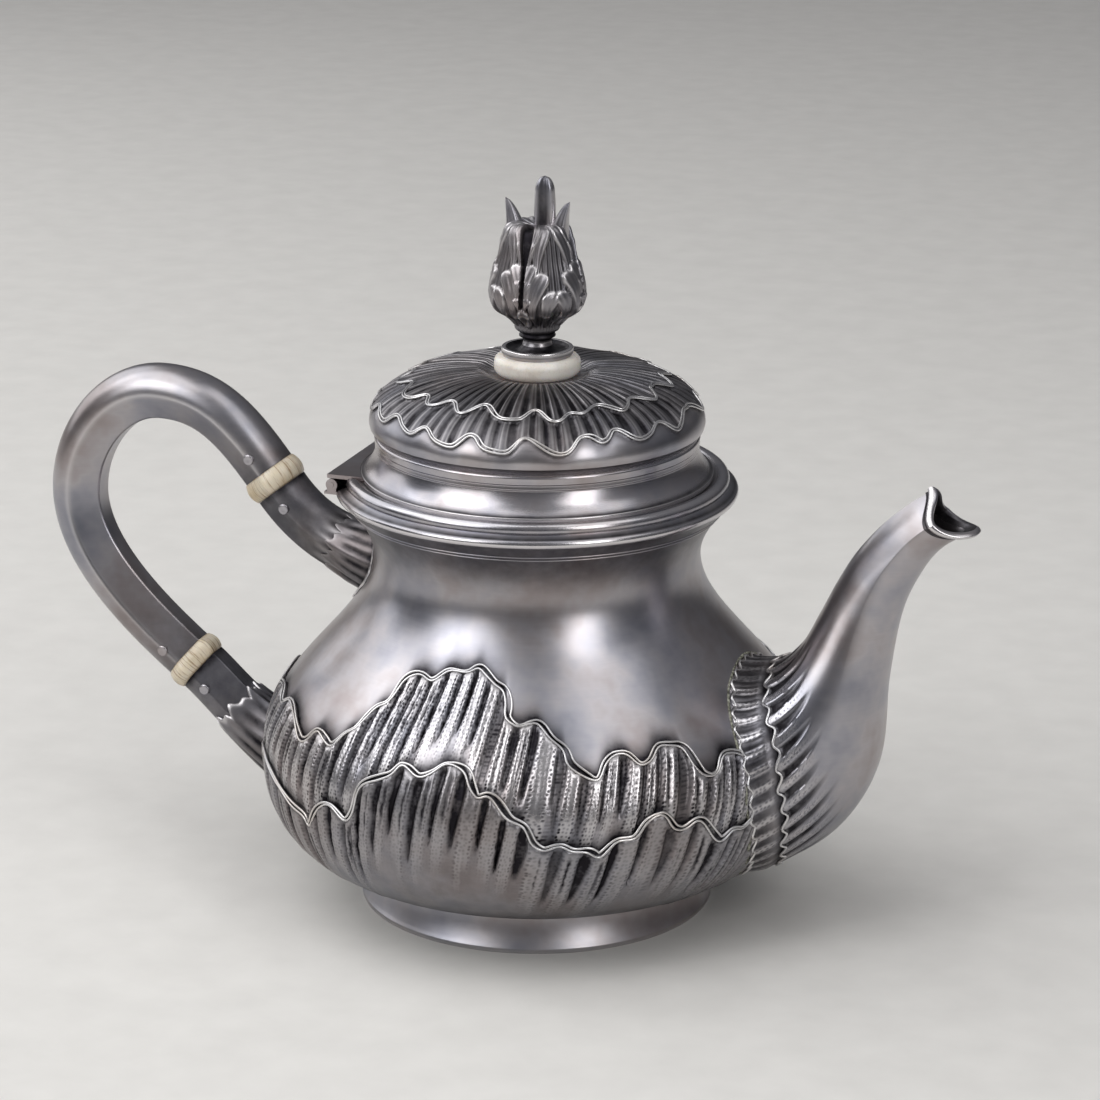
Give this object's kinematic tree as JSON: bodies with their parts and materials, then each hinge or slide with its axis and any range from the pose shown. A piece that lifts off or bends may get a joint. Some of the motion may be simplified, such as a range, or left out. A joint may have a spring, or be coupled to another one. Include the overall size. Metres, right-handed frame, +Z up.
{
  "type": "teapot",
  "caption": "Small baluster silver teapot with a swan-neck spout, a hinged domed lid with a cast bud finial, and a loop handle with bone insulators.",
  "frame": {"origin": "centre of the foot's underside, on the body's axis", "axes": "+Z up along the body's axis, +X from the handle towards the spout, +Y completes a right-handed frame; the X-Z plane cuts the spout, handle and hinge in half"},
  "size_m": [0.2058, 0.1156, 0.1555],
  "materials": {
    "silver": "antique silver, satin with dark patina in the recesses and bright worn edges",
    "bone": "cream bone, polished, with fine grain"
  },
  "bodies": {
    "pot": {"body_shell": "silver", "foot_ring": "silver", "mouth_rim": "silver", "spout": "silver", "spout_collar": "silver", "spout_lip": "silver", "upper_socket": "silver", "upper_socket_leaf": "silver", "upper_insulator": "bone", "handle_grip": "silver", "lower_insulator": "bone", "lower_socket": "silver", "lower_socket_leaf": "silver", "upper_grip_pin": "silver", "upper_socket_pin": "silver", "lower_grip_pin": "silver", "lower_socket_pin": "silver", "hinge_bracket": "silver", "hinge_pin": "silver"},
    "lid": {"lid_dome": "silver", "lid_gallery": "silver", "lid_bezel": "silver", "lid_hinge_leaf": "silver", "finial_disc": "bone", "finial_plate": "silver", "finial_bud": "silver", "finial_stud": "silver", "finial_washer": "silver", "finial_nut": "silver"}
  },
  "joints": [
    {"name": "lid_hinge", "type": "hinge", "parent": "pot", "child": "lid", "pos_m": [-0.03852, 0, 0.0912], "axis": [0, -1, 0], "range_deg": [0, 98]}
  ]
}
